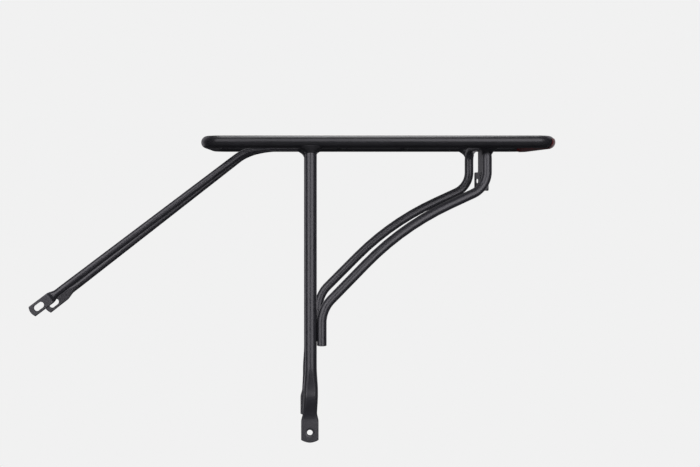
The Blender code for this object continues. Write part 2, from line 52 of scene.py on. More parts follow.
UPRIGHT = math.pi / 2

# Fineness of the meshes.
TUBE_SIDES = 48
HOLE_SIDES = 48
BEAD_SIDES = 20
COLLAR_SIDES = 72
SLOT_END_STEPS = 14
ARC_STEPS = 8                     # in a quarter turn of the plate's outline
TIP_STEPS = 16                    # along the round tip of a foot or a tab
BAR_BEND_STEPS = 24
ROD_STEPS = 8
LEG_STEPS = 6                     # along the leg's plain round part
FILM_STEPS = 40
BEND_STEP = math.radians(3)
FINE_STEP = 0.0015                # ring spacing where a tube is pressed
CUT_REACH = 0.003                 # how far a cutter runs past the face it cuts
CHAMFER = 0.00035                 # broken edge of holes, slots and the plate
SHARP_ANGLE = math.radians(35)
CUT_SHARP_ANGLE = math.radians(30)
LARGE_FACE_WEIGHT = 80            # percent
NEARLY_UPRIGHT = 0.1              # sine of the angle to the upright

# Places and sizes taken from the CAD nodes.
rail_low, rail_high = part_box("deck_loop")
RAIL_RADIUS = (rail_high.z - rail_low.z) / 2
DECK_Z = (rail_high.z + rail_low.z) / 2
DECK_FRONT_X = rail_low.x + RAIL_RADIUS
DECK_REAR_X = rail_high.x - RAIL_RADIUS
RAIL_HALF_SPACING = rail_high.y - RAIL_RADIUS
CORNER_RADIUS = 0.018

rod_low, rod_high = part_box("deck_rod_front")
ROD_RADIUS = (rod_high.z - rod_low.z) / 2
ROD_Z = (rod_high.z + rod_low.z) / 2

HOOP_RADIUS = 0.0060
HOOP_X = 0.225
HOOP_FOOT_X = 0.01495
HOOP_FOOT_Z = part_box("rear_hoop")[0].z
HOOP_FOOT_Y = 0.0674
HOOP_BAR_Z = 0.3642
HOOP_TOP_Y = 0.0565
HOOP_BAR_BEND = 0.020
HOOP_LOWER_RUN = 0.0284
HOOP_LOWER_BEND = 0.042
HOOP_STEEP_RUN = 0.0616
HOOP_LONG_BEND = 0.366
HOOP_UPPER_BEND = 0.031
HOOP_STEEP = math.radians(45.4)
HOOP_SHALLOW = math.radians(24.8)
HOOP_CLOSE_START_Z = 0.150
HOOP_CLOSE_END_Z = 0.330
HOOP_SPACING = HOOP_BAR_BEND / 3  # longest step along its centreline
TUBE_WALL = 0.0012
OPEN_END_DEPTH = 0.014            # how far the open end of the hoop's tube is hollow

# Legs.
LEG_X = 0.0013
LEG_RADIUS = 0.00735
LEG_INNER_Y = 0.06005
LEG_Y = LEG_INNER_Y + LEG_RADIUS
LEG_TOP_Z = 0.3628
FOOT_HALF_WIDTH = 0.01105
FOOT_HALF_THICKNESS = 0.0015
FOOT_OVAL_HALF_WIDTH = 0.0089
FOOT_OVAL_HALF_THICKNESS = 0.0056
ROUND_ABOVE_Z = 0.086
OVAL_BELOW_Z = 0.052
PRESS_TOP_Z = 0.050
PRESS_BOTTOM_Z = 0.016
SPREAD_TOP_Z = 0.026
SPREAD_BOTTOM_Z = 0.014
FOOT_END_RADIUS = 0.0205
FOOT_BOTTOM_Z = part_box("leg_left")[0].z
FOOT_HOLE_RADIUS = 0.0036
FOOT_SEAT_RADIUS = 0.0063
FOOT_SEAT_DEPTH = 0.0004

# Front stays.
STAY_Y = 0.0295
STAY_RADIUS = 0.0047
STAY_INNER_Y = STAY_Y - STAY_RADIUS
STAY_TAIL_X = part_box("front_stay_left")[1].x
STAY_TAIL_HALF_THICKNESS = 0.00185
STAY_TAIL_HALF_WIDTH = 0.0074
STAY_TAIL_DROP = 0.0003           # the flat tail lies this far under the front rod
STAY_TAIL_LENGTH = 0.038
STAY_TAIL_TAPER = 0.034
STAY_TAIL_RUN = 0.0256
STAY_TAIL_RISE = math.radians(5.0)
STAY_TAIL_BEND = 0.100
STAY_RISE_RUN = 0.0205
STAY_MAIN_BEND = 0.050
STAY_PITCH = {"left": math.radians(37.0), "right": math.radians(38.0)}
STAY_SLOPE_LENGTH = {"left": 0.3222, "right": 0.3192}
TAB_HALF_WIDTH = 0.0077
TAB_HALF_THICKNESS = 0.00125
TAB_FLAT = 0.0175
TAB_TAPER = 0.013
TAB_OUTER_RAMP = 0.007
TAB_INNER_RAMP = 0.026
TAB_END_RADIUS = 0.015
TAB_END = 0.0134
SLOT_LENGTH = 0.0148
SLOT_RADIUS = 0.004

# Lamp bracket.
plate_low, plate_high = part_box("lamp_bracket")
PLATE_STRIP_HALF_WIDTH = 0.0165
PLATE_SHOULDER_Z = 0.3296
PLATE_CORNER = 0.003
PLATE_NOTCH = 0.0022              # round inner corner between the strip and the wide plate
LAMP_SLOT_Y = 0.025
LAMP_SLOT_Z = 0.3178
LAMP_SLOT_LENGTH = 0.0175
LAMP_SLOT_RADIUS = 0.00275
LAMP_HOLE_RADIUS = 0.003
LAMP_HOLE_Z = 0.3232
BOSS_RADIUS = 0.0068              # pressed ring round the lamp hole
BOSS_HALF_WIDTH = 0.0016
BOSS_HEIGHT = 0.0007
BOSS_STEPS = 10
BOSS_BURIED = 0.4                 # how deep its ring reaches into the plate, as a share of its height

# Reflective film.
FILM_TOP = math.radians(30)
FILM_BOTTOM = math.radians(-150)
FILM_CORNER = math.radians(47)
FILM_THICKNESS = 0.0004

# Weld beads.
COLLAR_TOE_Z = 0.3514
COLLAR_TOE_RISE = 0.0020          # the toe arches up on the tube's outer and inner sides
COLLAR_TOP_Z = 0.3625
COLLAR_SPREAD = 0.0085
COLLAR_LIP = 0.0006
COLLAR_LIP_START = -0.01          # shares of the climb where the lip starts, is full and is halved
COLLAR_LIP_END = 0.07
COLLAR_LIP_FADE = 0.3
COLLAR_FLARE = 1.9                # power of the curve from the tube out to the rail
COLLAR_WOBBLE = 0.0002            # unevenness of the toe, and how much it differs between beads
COLLAR_WOBBLE_RANGE = (0.8, 1.2)
COLLAR_TUCK = 0.25                # how far the last ring draws in under the rail
COLLAR_ROWS = (0.0, 0.03, 0.07, 0.12, 0.18, 0.26, 0.36, 0.48, 0.60, 0.72, 0.84, 0.93, 1.0)
LEG_COLLAR_HALF_Y = 0.0074
HOOP_COLLAR_HALF_Y = 0.0080
HOOP_COLLAR_TOE_Y = 0.0549
HOOP_COLLAR_TOP_Y = 0.0645
BURIED = 0.9                      # a fillet's hidden first ring, as a share of its tube's radius
RIPPLE_COUNT = 26
RIPPLE_DEPTH = 0.00013
RIPPLE_LEAN = 5.0                 # radians from the toe to the top
RIPPLE_FADE = 1.3                 # the scales fade out before the top
ROD_WELD_REACH = 0.003
ROD_WELD_SPREAD = 0.0026
ROD_WELD_FLARE = 1.8
ROD_WELD_LIP_START = -0.02
ROD_WELD_LIP_END = 0.15
ROD_WELD_LIMIT = 0.95             # it stays this side of the rail's top and bottom
ROD_WELD_RIPPLE = 0.7             # share of the collars' ripple
ROD_WELD_STEPS = 8
BEAD_RIPPLE = 0.0021              # spacing of the scales along a straight bead
BEAD_SCALE_STEPS = 9              # rings in each scale
BEAD_LEAST_STEPS = 24
BEAD_END_POWER = 8                # the higher, the blunter the bead's ends
BEAD_TIP = 0.02
BEAD_SWELL = 0.10                 # how much each scale grows along its length
BEAD_WANDER = 0.03                # slow unevenness along the bead
BEAD_WAVE = 9                     # radians of it from end to end
BEAD_FILL = 0.94
FOOT_BEAD_RADIUS = 0.003
FOOT_BEAD_INSET = 0.0050          # towards the wheel from the leg's centre
STAY_BEAD_RADIUS = 0.0020
STAY_BEAD_RISE = 0.0006           # above the underside of the rod
BRACKET_BEAD_RADIUS = 0.0021
BRACKET_BEAD_RISE = 0.0012        # above the plate's top edge
DECK_SEED = 7
FRAME_SEED = 11


# ------ mesh helpers

def smooth_step(value, low, high):
    """0 below low, 1 above high, with a soft start and end."""
    share = min(max((value - low) / (high - low), 0.0), 1.0)
    return share * share * (3 - 2 * share)


def mix(low, high, share):
    return low + (high - low) * share


def mesh_object(name, bm, material=None):
    """An object from a bmesh, smooth except at true edges."""
    bmesh.ops.recalc_face_normals(bm, faces=bm.faces)
    mesh = bpy.data.meshes.new(name)
    bm.to_mesh(mesh)
    bm.free()
    mesh.shade_smooth()
    mesh.set_sharp_from_angle(angle=SHARP_ANGLE)
    made = bpy.data.objects.new(name, mesh)
    bpy.context.scene.collection.objects.link(made)
    if material:
        mesh.materials.append(material)
    return made


def skin(bm, rings, closed=False):
    """Faces through rings of points, with a cap at each end unless it closes on itself."""
    loops = [[bm.verts.new(point) for point in ring] for ring in rings]
    following = loops[1:] + loops[:1] if closed else loops[1:]
    for ring, after in zip(loops, following):
        for index in range(len(ring)):
            nearby = (index + 1) % len(ring)
            bm.faces.new((ring[index], ring[nearby], after[nearby], after[index]))
    if not closed:
        bm.faces.new(loops[0])
        bm.faces.new(loops[-1])


def loft(name, rings, material=None, closed=False):
    bm = bmesh.new()
    skin(bm, rings, closed)
    return mesh_object(name, bm, material)


def circle(radius, sides):
    """Points of a circle, turned by half a step so that none lies on an axis."""
    step = 2 * math.pi / sides
    return [(radius * math.cos((i + 0.5) * step), radius * math.sin((i + 0.5) * step))
            for i in range(sides)]


def pressed_section(half_width, half_height):
    """A tube's section after pressing: a flat-sided oval, or a circle where both halves agree."""
    radius = min(half_width, half_height)
    return [(x + math.copysign(half_width - radius, x), y + math.copysign(half_height - radius, y))
            for x, y in circle(radius, TUBE_SIDES)]


def tube_frames(centres, closed=False):
    """Two directions across a line at each of its points, turned as little as can be on the way."""
    count = len(centres)
    tangents = []
    for index in range(count):
        before = centres[index - 1] if index or closed else centres[index]
        after = centres[(index + 1) % count] if index + 1 < count or closed else centres[index]
        tangents.append((after - before).normalized())
    across = Vector((0, 0, 1)).cross(tangents[0])
    if across.length < NEARLY_UPRIGHT:
        across = Vector((1, 0, 0))
    frames = []
    previous = tangents[0]
    for tangent in tangents:
        across = previous.rotation_difference(tangent) @ across
        across = (across - tangent * across.dot(tangent)).normalized()
        frames.append((across, tangent.cross(across)))
        previous = tangent
    return frames


def tube_rings(centres, radii, sides=TUBE_SIDES, closed=False):
    """Round sections along a line, with one radius for each point."""
    rings = []
    for centre, radius, (across, other) in zip(centres, radii, tube_frames(centres, closed)):
        rings.append([centre + across * a + other * b for a, b in circle(radius, sides)])
    return rings


def cutting(made, *cutters):
    """Takes the cutters' volume away, and evens out the shading of the flats around the cut."""
    for cutter in cutters:
        modifier = made.modifiers.new("cut", "BOOLEAN")
        modifier.operation = "DIFFERENCE"
        modifier.solver = "EXACT"
        modifier.object = cutter
    bpy.context.view_layer.update()
    evaluated = made.evaluated_get(bpy.context.evaluated_depsgraph_get())
    mesh = bpy.data.meshes.new_from_object(evaluated)
    made.modifiers.clear()
    made.data = mesh
    mesh.set_sharp_from_angle(angle=CUT_SHARP_ANGLE)
    for cutter in cutters:
        bpy.data.objects.remove(cutter, do_unlink=True)
    return even_shading(made)


def even_shading(made):
    """Normals follow the large flat faces, so that flats stay flat beside round edges."""
    modifier = made.modifiers.new("even", "WEIGHTED_NORMAL")
    modifier.keep_sharp = True
    modifier.weight = LARGE_FACE_WEIGHT
    bpy.context.view_layer.update()
    evaluated = made.evaluated_get(bpy.context.evaluated_depsgraph_get())
    mesh = bpy.data.meshes.new_from_object(evaluated)
    made.modifiers.clear()
    made.data = mesh
    return made


def bent_line(start, heading, moves):
    """Centreline in the XZ plane: moves are (length,) for a run or (angle, radius) for a bend."""
    x, z = start
    points = [(x, z)]
    for move in moves:
        if len(move) == 1:
            x += move[0] * math.cos(heading)
            z += move[0] * math.sin(heading)
            points.append((x, z))
            continue
        angle, radius = move
        side = math.copysign(1, angle)
        centre_x = x - side * radius * math.sin(heading)
        centre_z = z + side * radius * math.cos(heading)
        count = max(2, math.ceil(abs(angle) / BEND_STEP))
        for index in range(1, count + 1):
            turned = heading + angle * index / count
            x = centre_x + side * radius * math.sin(turned)
            z = centre_z - side * radius * math.cos(turned)
            points.append((x, z))
        heading += angle
    return points


def refine(line, longest):
    """Splits long runs of a line, so that a changing section has points to follow."""
    points = [line[0]]
    for (x0, z0), (x1, z1) in zip(line, line[1:]):
        count = max(1, math.ceil(math.hypot(x1 - x0, z1 - z0) / longest))
        points += [(mix(x0, x1, i / count), mix(z0, z1, i / count)) for i in range(1, count + 1)]
    return points


def line_length(line):
    return sum(math.hypot(x1 - x0, z1 - z0) for (x0, z0), (x1, z1) in zip(line, line[1:]))


def slot_outline(centre, along, across, length, radius):
    """Outline of a slot with round ends."""
    reach = length / 2 - radius
    points = []
    for end in (1, -1):
        for index in range(SLOT_END_STEPS + 1):
            angle = end * (math.pi * index / SLOT_END_STEPS - UPRIGHT)
            points.append(centre + along * end * (reach + radius * math.cos(angle))
                          + across * radius * math.sin(angle))
    return points


def slot_cutter(centre, along, across, through, length, radius, half_thickness):
    """A slot's cutter that also breaks both of its edges."""
    grown = CHAMFER + CUT_REACH
    depths = [(-half_thickness - CUT_REACH, grown), (-half_thickness + CHAMFER, 0.0),
              (half_thickness - CHAMFER, 0.0), (half_thickness + CUT_REACH, grown)]
    rings = [slot_outline(centre + through * depth, along, across, length + 2 * more, radius + more)
             for depth, more in depths]
    return loft("cutter", rings)


def turned(name, centre, axis, profile):
    """A solid turned round an axis: profile is (distance along the axis, radius)."""
    axis = Vector(axis)
    across = axis.orthogonal().normalized()
    other = axis.cross(across)
    rings = [[Vector(centre) + axis * along + across * a + other * b
              for a, b in circle(radius, HOLE_SIDES)]
             for along, radius in profile]
    return loft(name, rings)


# ------ centrelines

def corner_points(first_angle, last_angle):
    """Deck centreline points and outward directions over one corner's range of headings."""
    count = math.ceil((last_angle - first_angle) / BEND_STEP)
    middle = (first_angle + last_angle) / 2
    corner_x = DECK_REAR_X - CORNER_RADIUS if math.cos(middle) > 0 else DECK_FRONT_X + CORNER_RADIUS
    corner_y = math.copysign(RAIL_HALF_SPACING - CORNER_RADIUS, math.sin(middle))
    corner = Vector((corner_x, corner_y, DECK_Z))
    points = []
    for index in range(count + 1):
        angle = first_angle + (last_angle - first_angle) * index / count
        outward = Vector((math.cos(angle), math.sin(angle), 0))
        points.append((corner + outward * CORNER_RADIUS, outward))
    return points


def deck_centreline():
    points = []
    for quarter in range(4):
        points += corner_points(quarter * UPRIGHT, (quarter + 1) * UPRIGHT)
    return [centre for centre, _ in points]


def hoop_half_width(z):
    return mix(HOOP_FOOT_Y, HOOP_TOP_Y, smooth_step(z, HOOP_CLOSE_START_Z, HOOP_CLOSE_END_Z))


def hoop_centreline():
    """From the left foot, up and under the deck, and down to the right foot."""
    start = (HOOP_FOOT_X, HOOP_FOOT_Z)
    lower_part = [(HOOP_LOWER_RUN,), (HOOP_STEEP - UPRIGHT, HOOP_LOWER_BEND), (HOOP_STEEP_RUN,),
                  (HOOP_SHALLOW - HOOP_STEEP, HOOP_LONG_BEND)]
    reached_x = bent_line(start, UPRIGHT, lower_part)[-1][0]
    bend_reach = HOOP_UPPER_BEND * (1 - math.sin(HOOP_SHALLOW))
    shallow_run = (HOOP_X - bend_reach - reached_x) / math.cos(HOOP_SHALLOW)
    upper_part = [(shallow_run,), (UPRIGHT - HOOP_SHALLOW, HOOP_UPPER_BEND)]
    side = refine(bent_line(start, UPRIGHT, lower_part + upper_part), HOOP_SPACING)
    left = [Vector((x, -hoop_half_width(z), z)) for x, z in side]
    centre_y = HOOP_TOP_Y - HOOP_BAR_BEND
    centre_z = HOOP_BAR_Z - HOOP_BAR_BEND
    for index in range(BAR_BEND_STEPS + 1):
        angle = UPRIGHT * index / BAR_BEND_STEPS
        left.append(Vector((HOOP_X, -(centre_y + HOOP_BAR_BEND * math.cos(angle)),
                            centre_z + HOOP_BAR_BEND * math.sin(angle))))
    right = [Vector((point.x, -point.y, point.z)) for point in reversed(left)]
    return left + right


def rail_underside(y):
    """Height of the deck rail's lower surface at a distance from the centre plane."""
    offset = abs(y) - RAIL_HALF_SPACING
    if abs(offset) >= RAIL_RADIUS:
        return DECK_Z
    return DECK_Z - math.sqrt(RAIL_RADIUS ** 2 - offset ** 2)


# ------ tubes and rods

def deck_loop(material):
    centres = deck_centreline()
    rings = tube_rings(centres, [RAIL_RADIUS] * len(centres), closed=True)
    return loft("deck_loop_look", rings, material, closed=True)


def deck_rod(place, material):
    """A rod with its ends just inside the rails."""
    low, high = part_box("deck_rod_" + place)
    x = (low.x + high.x) / 2
    reach = RAIL_HALF_SPACING - RAIL_RADIUS / 2
    centres = [Vector((x, mix(-reach, reach, index / ROD_STEPS), ROD_Z))
               for index in range(ROD_STEPS + 1)]
    rings = tube_rings(centres, [ROD_RADIUS] * len(centres))
    return loft("deck_rod_" + place + "_look", rings, material)


def open_tube_end(centres):
    """Sections of an open tube end: the hollow's floor, its wall, and the broken outer edge."""
    start, ahead = centres[0], (centres[1] - centres[0]).normalized()
    steps = [(OPEN_END_DEPTH, HOOP_RADIUS - TUBE_WALL), (CHAMFER, HOOP_RADIUS - TUBE_WALL),
             (0.0, HOOP_RADIUS - TUBE_WALL + CHAMFER), (0.0, HOOP_RADIUS - CHAMFER),
             (CHAMFER, HOOP_RADIUS)]
    rings = []
    for distance, radius in steps:
        centre = start + ahead * distance
        rings.append(tube_rings([centre, centre + ahead * CHAMFER], [radius, radius])[0])
    return rings


def rear_hoop(material):
    """The hoop's tube, hollow at both lower ends."""
    centres = hoop_centreline()
    body = tube_rings(centres, [HOOP_RADIUS] * len(centres))[1:-1]
    first = open_tube_end(centres)
    last = [[Vector((point.x, -point.y, point.z)) for point in ring] for ring in reversed(first)]
    first = aligned(first, first[-1], body[0])
    last = aligned(last, last[0], body[-1])
    return loft("rear_hoop_look", first + body + last, material)


def reorder(ring, shift, flip):
    ordered = list(reversed(ring)) if flip else list(ring)
    return ordered[shift:] + ordered[:shift]


def aligned(rings, joining, target):
    """Rings renumbered so that the joining one meets the target ring point for point."""
    best = None
    for flip in (False, True):
        for shift in range(len(joining)):
            moved = reorder(joining, shift, flip)
            apart = sum((a - b).length for a, b in zip(moved, target))
            if best is None or apart < best[0]:
                best = (apart, shift, flip)
    return [reorder(ring, best[1], best[2]) for ring in rings]


def leg_section(z):
    """Half width, half thickness and X of the leg at a height."""
    to_oval = 1 - smooth_step(z, OVAL_BELOW_Z, ROUND_ABOVE_Z)
    to_spread = 1 - smooth_step(z, SPREAD_BOTTOM_Z, SPREAD_TOP_Z)
    to_flat = 1 - smooth_step(z, PRESS_BOTTOM_Z, PRESS_TOP_Z)
    oval_half_width = mix(LEG_RADIUS, FOOT_OVAL_HALF_WIDTH, to_oval)
    oval_half_depth = mix(LEG_RADIUS, FOOT_OVAL_HALF_THICKNESS, to_oval)
    half_width = mix(oval_half_width, FOOT_HALF_WIDTH, to_spread)
    half_depth = mix(oval_half_depth, FOOT_HALF_THICKNESS, to_flat)
    return half_width, half_depth, mix(LEG_X, 0.0, to_flat)


def leg_ring(z, side, half_width, half_depth, x):
    centre_y = LEG_INNER_Y + half_depth
    return [Vector((x + a, side * (centre_y + b), z)) for a, b in pressed_section(half_width, half_depth)]


def leg_top_ring(side):
    """The leg's top is cut to fit the underside of the rail."""
    ring = leg_ring(LEG_TOP_Z, side, LEG_RADIUS, LEG_RADIUS, LEG_X)
    for point in ring:
        point.z = min(LEG_TOP_Z, rail_underside(point.y) + CHAMFER)
    return ring


def leg_rings(side):
    count = round((ROUND_ABOVE_Z - SPREAD_BOTTOM_Z) / FINE_STEP)
    heights = [DECK_Z - 2 * RAIL_RADIUS]
    heights += [mix(heights[0], ROUND_ABOVE_Z, index / LEG_STEPS) for index in range(1, LEG_STEPS)]
    heights += [ROUND_ABOVE_Z - FINE_STEP * index for index in range(count + 1)]
    rings = [leg_top_ring(side)]
    for z in heights:
        half_width, half_depth, x = leg_section(z)
        rings.append(leg_ring(z, side, half_width, half_depth, x))
    centre_z = FOOT_BOTTOM_Z + FOOT_END_RADIUS
    widest = math.asin(FOOT_HALF_WIDTH / FOOT_END_RADIUS)
    tip = FOOT_HALF_THICKNESS / FOOT_END_RADIUS
    for index in range(TIP_STEPS + 1):
        angle = mix(widest, tip, index / TIP_STEPS)
        half_width = max(FOOT_END_RADIUS * math.sin(angle), FOOT_HALF_THICKNESS)
        z = centre_z - FOOT_END_RADIUS * math.cos(angle)
        rings.append(leg_ring(z, side, half_width, FOOT_HALF_THICKNESS, 0.0))
    return rings


def leg(name, side, material):
    """A leg with its pressed foot, and the foot's hole with a seat pressed round it."""
    made = loft("leg_" + name + "_look", leg_rings(side), material)
    half = FOOT_HALF_THICKNESS
    floor = half - FOOT_SEAT_DEPTH
    profile = [(-half - CUT_REACH, FOOT_HOLE_RADIUS + CHAMFER + CUT_REACH),
               (-half + CHAMFER, FOOT_HOLE_RADIUS), (floor - CHAMFER, FOOT_HOLE_RADIUS),
               (floor, FOOT_HOLE_RADIUS + CHAMFER), (floor, FOOT_SEAT_RADIUS - 2 * FOOT_SEAT_DEPTH),
               (half, FOOT_SEAT_RADIUS), (half + CUT_REACH, FOOT_SEAT_RADIUS + CUT_REACH)]
    centre = (0, side * (LEG_INNER_Y + half), 0)
    return cutting(made, turned("cutter", centre, (0, side, 0), profile))


# ------ front stays

def tab_section(half_height, inner_radius, outer_radius):
    """A section with a flat on each side, measured from its inner side: height, then depth."""
    points = []
    for x, y in circle(1.0, TUBE_SIDES):
        radius = outer_radius if y > 0 else inner_radius
        points.append((math.copysign(half_height - radius, x) + radius * x, inner_radius + radius * y))
    return points


def stay_section(along, length):
    """Points of a front stay's section, at a distance from its rear end: height, then depth."""
    to_slot = length - along
    if to_slot < along:
        to_tab = 1 - smooth_step(to_slot, TAB_FLAT, TAB_FLAT + TAB_TAPER)
        outer_press = 1 - smooth_step(to_slot, TAB_FLAT, TAB_FLAT + TAB_OUTER_RAMP)
        inner_press = 1 - smooth_step(to_slot, TAB_FLAT, TAB_FLAT + TAB_INNER_RAMP)
        return tab_section(mix(STAY_RADIUS, TAB_HALF_WIDTH, to_tab),
                           mix(STAY_RADIUS, TAB_HALF_THICKNESS, inner_press),
                           mix(STAY_RADIUS, TAB_HALF_THICKNESS, outer_press))
    from_tail = smooth_step(along, STAY_TAIL_LENGTH, STAY_TAIL_LENGTH + STAY_TAIL_TAPER)
    half_height = mix(STAY_TAIL_HALF_THICKNESS, STAY_RADIUS, from_tail)
    half_width = mix(STAY_TAIL_HALF_WIDTH, STAY_RADIUS, from_tail)
    return [(a, b + STAY_RADIUS) for a, b in pressed_section(half_height, half_width)]


def stay_line(name):
    """Centreline of a front stay from its tail to its slot, and the slot's heading."""
    pitch = STAY_PITCH[name]
    tail_z = ROD_Z - ROD_RADIUS - STAY_TAIL_DROP - STAY_TAIL_HALF_THICKNESS
    moves = [(STAY_TAIL_RUN,), (STAY_TAIL_RISE, STAY_TAIL_BEND), (STAY_RISE_RUN,),
             (pitch - STAY_TAIL_RISE, STAY_MAIN_BEND), (STAY_SLOPE_LENGTH[name],)]
    line = bent_line((STAY_TAIL_X, tail_z), math.pi, moves)
    return line, math.pi + pitch


def stay_rings(line, side):
    whole = line_length(line)
    points = refine(line, FINE_STEP)
    plain_start = line_length(line[:-1]) + FINE_STEP
    plain_end = whole - TAB_FLAT - TAB_INNER_RAMP - FINE_STEP
    rings = []
    along = 0.0
    for index, (x, z) in enumerate(points):
        before = points[max(index - 1, 0)]
        after = points[min(index + 1, len(points) - 1)]
        if index:
            along += math.hypot(x - before[0], z - before[1])
        if plain_start < along < plain_end:
            continue
        run = math.atan2(after[1] - before[1], after[0] - before[0])
        up = Vector((-math.sin(run), 0, math.cos(run)))
        rings.append([Vector((x, side * (STAY_INNER_Y + b), z)) + up * a
                      for a, b in stay_section(along, whole)])
    return rings


def tab_tip_rings(end, side, forward, up):
    """Sections that narrow to the tab's round tip."""
    widest = math.asin(TAB_HALF_WIDTH / TAB_END_RADIUS)
    tip = TAB_HALF_THICKNESS / TAB_END_RADIUS
    rings = []
    for index in range(TIP_STEPS + 1):
        angle = mix(widest, tip, index / TIP_STEPS)
        reach = TAB_END - TAB_END_RADIUS * (1 - math.cos(angle))
        half_height = max(TAB_END_RADIUS * math.sin(angle), TAB_HALF_THICKNESS)
        rings.append([end + forward * reach + up * a + Vector((0, side * b, 0))
                      for a, b in pressed_section(half_height, TAB_HALF_THICKNESS)])
    return rings


def front_stay(name, side, material):
    line, heading = stay_line(name)
    end = Vector((line[-1][0], side * (STAY_INNER_Y + TAB_HALF_THICKNESS), line[-1][1]))
    forward = Vector((math.cos(heading), 0, math.sin(heading)))
    up = Vector((-forward.z, 0, forward.x))
    rings = stay_rings(line, side) + tab_tip_rings(end, side, forward, up)
    made = loft("front_stay_" + name + "_look", rings, material)
    through = Vector((0, 1, 0))
    return cutting(made, slot_cutter(end, forward, up, through, SLOT_LENGTH, SLOT_RADIUS,
                                     TAB_HALF_THICKNESS))


# ------ plate and film

def arc(centre, radius, first, last, steps=ARC_STEPS):
    return [(centre[0] + radius * math.cos(mix(first, last, index / steps)),
             centre[1] + radius * math.sin(mix(first, last, index / steps)))
            for index in range(steps + 1)]


def plate_half(inset):
    """Right half of the T, its edge drawn in by an inset: width, then height."""
    corner = PLATE_CORNER - inset
    notch = PLATE_NOTCH + inset
    bottom = plate_low.z + PLATE_CORNER
    shoulder = PLATE_SHOULDER_Z - PLATE_CORNER
    strip = PLATE_STRIP_HALF_WIDTH - inset
    points = arc((plate_high.y - PLATE_CORNER, bottom), corner, -UPRIGHT, 0.0)
    points += arc((plate_high.y - PLATE_CORNER, shoulder), corner, 0.0, UPRIGHT)
    points += arc((PLATE_STRIP_HALF_WIDTH + PLATE_NOTCH, PLATE_SHOULDER_Z + PLATE_NOTCH), notch,
                  -UPRIGHT, -math.pi)
    points.append((strip, plate_high.z))
    return points


def plate_ring(x, inset):
    right = plate_half(inset)
    left = [(-y, z) for y, z in reversed(right)]
    return [Vector((x, y, z)) for y, z in right + left]


def lamp_bracket(material):
    """The T-shaped plate with broken edges, two slots, and a hole inside a pressed ring."""
    depths = [(plate_low.x, CHAMFER), (plate_low.x + CHAMFER, 0.0), (plate_high.x - CHAMFER, 0.0),
              (plate_high.x, CHAMFER)]
    made = loft("lamp_bracket_look", [plate_ring(x, inset) for x, inset in depths], material)
    half = (plate_high.x - plate_low.x) / 2
    middle = (plate_high.x + plate_low.x) / 2
    through = Vector((1, 0, 0))
    cutters = []
    for side in SIDES.values():
        centre = Vector((middle, side * LAMP_SLOT_Y, LAMP_SLOT_Z))
        cutters.append(slot_cutter(centre, Vector((0, 1, 0)), Vector((0, 0, 1)), through,
                                   LAMP_SLOT_LENGTH, LAMP_SLOT_RADIUS, half))
    profile = [(-half - CUT_REACH, LAMP_HOLE_RADIUS + CHAMFER + CUT_REACH),
               (-half + CHAMFER, LAMP_HOLE_RADIUS), (half - CHAMFER, LAMP_HOLE_RADIUS),
               (half + CUT_REACH, LAMP_HOLE_RADIUS + CHAMFER + CUT_REACH)]
    cutters.append(turned("cutter", (middle, 0, LAMP_HOLE_Z), through, profile))
    cutting(made, *cutters)
    return add_boss(made)


def add_boss(made):
    """The pressed ring stands proud of the plate's front face."""
    bm = bmesh.new()
    bm.from_mesh(made.data)
    centre = Vector((plate_low.x, 0, LAMP_HOLE_Z))
    rings = []
    for a, b in circle(1.0, HOLE_SIDES):
        ring = []
        for index in range(2 * BOSS_STEPS):
            angle = math.pi * index / BOSS_STEPS
            radius = BOSS_RADIUS + BOSS_HALF_WIDTH * math.cos(angle)
            height = BOSS_HEIGHT * max(math.sin(angle), -BOSS_BURIED)
            ring.append(centre + Vector((-height, radius * a, radius * b)))
        rings.append(ring)
    skin(bm, rings, closed=True)
    bmesh.ops.recalc_face_normals(bm, faces=bm.faces)
    bm.to_mesh(made.data)
    bm.free()
    made.data.set_sharp_from_angle(angle=CUT_SHARP_ANGLE)
    return even_shading(made)


def rear_reflector(material):
    """Film bonded round the back and underside of the rear run."""
    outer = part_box("rear_reflector")[1].x - DECK_REAR_X
    inner = outer - FILM_THICKNESS
    angles = [mix(FILM_BOTTOM, FILM_TOP, index / FILM_STEPS) for index in range(FILM_STEPS + 1)]
    profile = [(outer * math.cos(angle), outer * math.sin(angle)) for angle in angles]
    profile += [(inner * math.cos(angle), inner * math.sin(angle)) for angle in reversed(angles)]
    path = corner_points(-FILM_CORNER, 0) + corner_points(0, FILM_CORNER)
    rings = [[centre + outward * a + Vector((0, 0, b)) for a, b in profile] for centre, outward in path]
    return loft("rear_reflector_look", rings, material)


# ------ weld beads

def ripple(turn, climb, phase):
    """Height of the weld's scales: they lean over as they climb the bead."""
    wave = math.sin(RIPPLE_COUNT * turn + RIPPLE_LEAN * climb + phase)
    return RIPPLE_DEPTH * wave * math.sin(math.pi * min(climb * RIPPLE_FADE, 1.0))


def collar_lip(climb):
    """A lip swells up at the toe, then sinks to half."""
    return COLLAR_LIP * (smooth_step(climb, COLLAR_LIP_START, COLLAR_LIP_END)
                         - 0.5 * smooth_step(climb, COLLAR_LIP_END, COLLAR_LIP_FADE))


